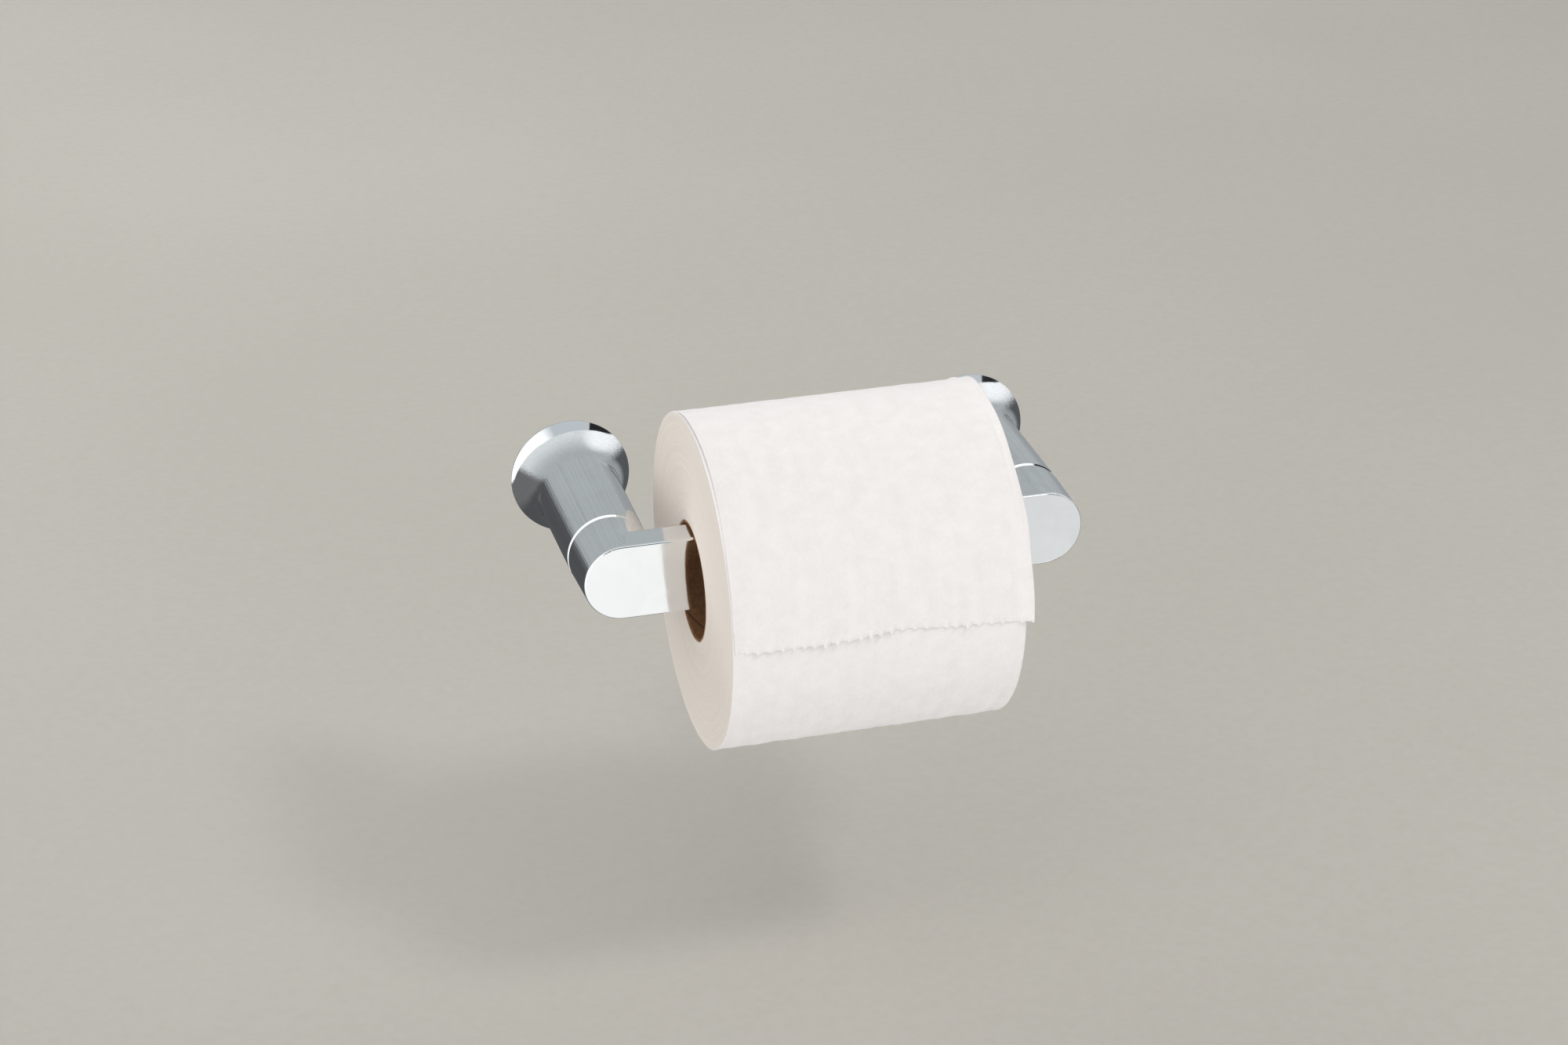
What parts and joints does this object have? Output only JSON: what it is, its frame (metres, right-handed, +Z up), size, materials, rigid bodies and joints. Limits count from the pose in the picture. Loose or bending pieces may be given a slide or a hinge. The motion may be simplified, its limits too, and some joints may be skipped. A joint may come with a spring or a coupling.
{
  "type": "toilet paper holder",
  "caption": "Wall-mounted holder with two bell-mouthed posts and a flat bar that swings up round one post, carrying a roll of tissue with its tail hanging in front.",
  "frame": {"origin": "on the wall, midway between the two post axes", "axes": "+X to the right along the bar, +Z up, +Y into the wall; the holder stands out towards -Y"},
  "size_m": [0.1964, 0.1649, 0.1193],
  "materials": {
    "chrome": "polished chrome plate on die-cast zinc",
    "bracket_zinc": "plain die-cast zinc, as cast",
    "screw_steel": "zinc-plated and stainless steel",
    "nylon": "natural nylon",
    "cardboard": "brown spiral-wound board",
    "wound_tissue": "soft tissue, loosely wound; with the air between its wraps it is as light as corrugated board",
    "tissue": "soft two-ply tissue, faintly embossed"
  },
  "bodies": {
    "wall_side": {"left_wall_bracket": "bracket_zinc", "right_wall_bracket": "bracket_zinc", "wall_screws": "screw_steel", "left_post": "chrome", "right_post": "chrome", "set_screws": "screw_steel", "pivot_bush": "nylon", "thrust_washer": "nylon", "glide_ring": "nylon", "rest_pin": "screw_steel"},
    "bar": {"roll_bar": "chrome", "bar_back_cover": "nylon", "pivot_bolt": "screw_steel", "pivot_washer": "screw_steel", "spring_washer": "screw_steel", "stop_pin": "screw_steel", "slot_lining": "nylon"},
    "core": {"core_tube": "cardboard"},
    "roll": {"paper_roll": "wound_tissue", "loose_sheet": "tissue"}
  },
  "joints": [
    {"name": "bar_pivot", "type": "hinge", "parent": "wall_side", "child": "bar", "pos_m": [-0.0762, -0.0685, 0], "axis": [0, -1, 0], "range_deg": [0, 90]},
    {"name": "roll_slide", "type": "slide", "parent": "bar", "child": "core", "axis": [1, 0, 0], "range_m": [-0.0095, 0.007]},
    {"name": "roll_spin", "type": "hinge", "parent": "core", "child": "roll", "pos_m": [0.0001, -0.0859, -0.00552], "axis": [1, 0, 0], "continuous": true}
  ]
}
